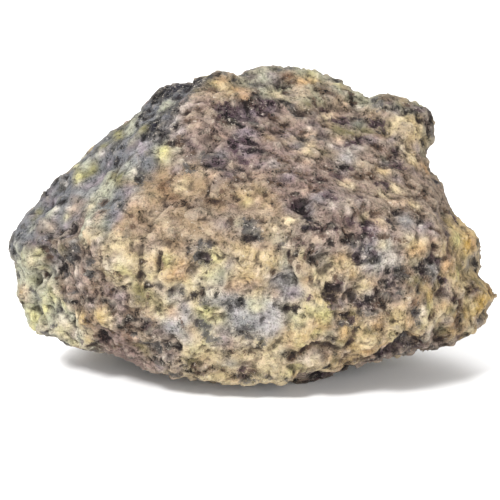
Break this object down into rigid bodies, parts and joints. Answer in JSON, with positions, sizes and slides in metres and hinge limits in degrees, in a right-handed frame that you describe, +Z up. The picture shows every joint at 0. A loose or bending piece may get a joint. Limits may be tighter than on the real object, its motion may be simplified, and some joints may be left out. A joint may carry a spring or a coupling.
{
  "type": "granulite hand specimen",
  "caption": "Rough broken block of granulite, grey and tan with yellow feldspar lumps, that rests on a small flat spot.",
  "frame": {"origin": "on the resting plane, under the middle of the stone's bounding box", "axes": "+X along the stone's length towards the end below the knob, -Y towards the viewer of the tan face, +Z up"},
  "size_m": [0.1, 0.0644, 0.062],
  "materials": {
    "granulite": "rough fracture surface of mixed pale, tan, yellow and dark grains"
  },
  "bodies": {
    "root": {"granulite": "granulite"}
  },
  "joints": []
}
